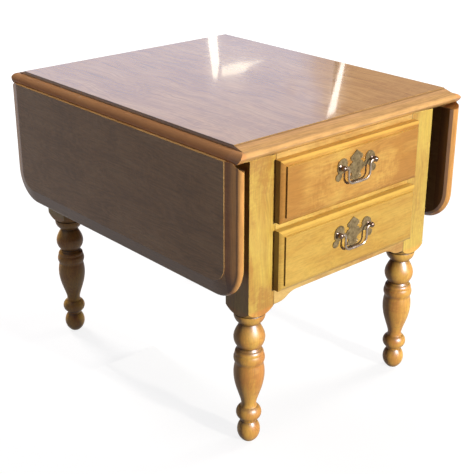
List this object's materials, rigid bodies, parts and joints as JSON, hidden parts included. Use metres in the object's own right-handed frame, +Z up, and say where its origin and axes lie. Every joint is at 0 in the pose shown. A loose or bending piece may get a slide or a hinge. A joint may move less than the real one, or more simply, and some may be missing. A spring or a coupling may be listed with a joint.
{
  "type": "drop-leaf side table",
  "caption": "Rectangular wooden side table with hinged drop leaves on rule joints, turned legs, a scrolled apron and overlay drawers with hanging brass bail pulls.",
  "frame": {"origin": "on the floor, under the middle of the fixed top", "axes": "+Z up, -Y out of the drawer fronts, +X to the right of someone who faces the drawers"},
  "size_m": [0.542, 0.6574, 0.556],
  "materials": {
    "maple_finish": "golden-maple stain under a glossy lacquer",
    "drawer_box_wood": "plain sanded secondary wood",
    "antique_brass": "antiqued, worn brighter on the high places",
    "zinc_steel": "zinc plated, satin"
  },
  "bodies": {
    "case": {"table_top": "maple_finish", "leg_front_left": "maple_finish", "leg_front_right": "maple_finish", "leg_back_left": "maple_finish", "leg_back_right": "maple_finish", "side_panel_left": "maple_finish", "side_panel_right": "maple_finish", "back_panel": "maple_finish", "top_front_rail": "maple_finish", "drawer_divider_rail": "maple_finish", "front_apron": "maple_finish", "upper_drawer_runners": "drawer_box_wood", "lower_drawer_runners": "drawer_box_wood", "top_cleats": "drawer_box_wood", "top_screws": "zinc_steel", "hinge_top_plates_left": "zinc_steel", "hinge_pins_left": "zinc_steel", "hinge_top_screws_left": "zinc_steel", "stay_bracket_left": "zinc_steel", "stay_bracket_screws_left": "zinc_steel", "stay_pin_left": "zinc_steel", "hinge_top_plates_right": "zinc_steel", "hinge_pins_right": "zinc_steel", "hinge_top_screws_right": "zinc_steel", "stay_bracket_right": "zinc_steel", "stay_bracket_screws_right": "zinc_steel", "stay_pin_right": "zinc_steel"},
    "leaf_left": {"leaf_left": "maple_finish", "hinge_leaf_plates_left": "zinc_steel", "wear_plate_left": "zinc_steel", "leaf_screws_left": "zinc_steel"},
    "stay_arm_left": {"stay_arm_left": "zinc_steel", "stay_stud_left": "zinc_steel"},
    "leaf_right": {"leaf_right": "maple_finish", "hinge_leaf_plates_right": "zinc_steel", "wear_plate_right": "zinc_steel", "leaf_screws_right": "zinc_steel"},
    "stay_arm_right": {"stay_arm_right": "zinc_steel", "stay_stud_right": "zinc_steel"},
    "upper_drawer": {"upper_drawer_front": "maple_finish", "upper_drawer_side_left": "drawer_box_wood", "upper_drawer_side_right": "drawer_box_wood", "upper_drawer_back": "drawer_box_wood", "upper_drawer_bottom": "drawer_box_wood", "upper_pull_plate": "antique_brass", "upper_pull_posts": "antique_brass", "upper_pull_nuts": "antique_brass"},
    "upper_bail": {"upper_pull_bail": "antique_brass"},
    "lower_drawer": {"lower_drawer_front": "maple_finish", "lower_drawer_side_left": "drawer_box_wood", "lower_drawer_side_right": "drawer_box_wood", "lower_drawer_back": "drawer_box_wood", "lower_drawer_bottom": "drawer_box_wood", "lower_pull_plate": "antique_brass", "lower_pull_posts": "antique_brass", "lower_pull_nuts": "antique_brass"},
    "lower_bail": {"lower_pull_bail": "antique_brass"}
  },
  "joints": [
    {"name": "leaf_left_hinge", "type": "hinge", "parent": "case", "child": "leaf_left", "pos_m": [-0.2505, 0, 0.5355], "axis": [0, 1, 0], "range_deg": [0, 90]},
    {"name": "stay_left_pivot", "type": "hinge", "parent": "case", "child": "stay_arm_left", "pos_m": [-0.232, 0, 0.4655], "axis": [0, 1, 0], "range_deg": [0, 117.6]},
    {"name": "leaf_right_hinge", "type": "hinge", "parent": "case", "child": "leaf_right", "pos_m": [0.2505, 0, 0.5355], "axis": [0, -1, 0], "range_deg": [0, 90]},
    {"name": "stay_right_pivot", "type": "hinge", "parent": "case", "child": "stay_arm_right", "pos_m": [0.232, 0, 0.4655], "axis": [0, -1, 0], "range_deg": [0, 117.6]},
    {"name": "upper_drawer_slide", "type": "slide", "parent": "case", "child": "upper_drawer", "axis": [0, -1, 0], "range_m": [0, 0.4]},
    {"name": "upper_bail_hinge", "type": "hinge", "parent": "upper_drawer", "child": "upper_bail", "pos_m": [0, -0.3269, 0.4775], "axis": [-1, 0, 0], "range_deg": [-8, 188]},
    {"name": "lower_drawer_slide", "type": "slide", "parent": "case", "child": "lower_drawer", "axis": [0, -1, 0], "range_m": [0, 0.4]},
    {"name": "lower_bail_hinge", "type": "hinge", "parent": "lower_drawer", "child": "lower_bail", "pos_m": [0, -0.3269, 0.359], "axis": [-1, 0, 0], "range_deg": [-8, 188]}
  ],
  "couplings": [
    {"joint": "stay_left_pivot", "follows": "leaf_left_hinge", "ratio": 1.3065},
    {"joint": "stay_right_pivot", "follows": "leaf_right_hinge", "ratio": 1.3065}
  ]
}
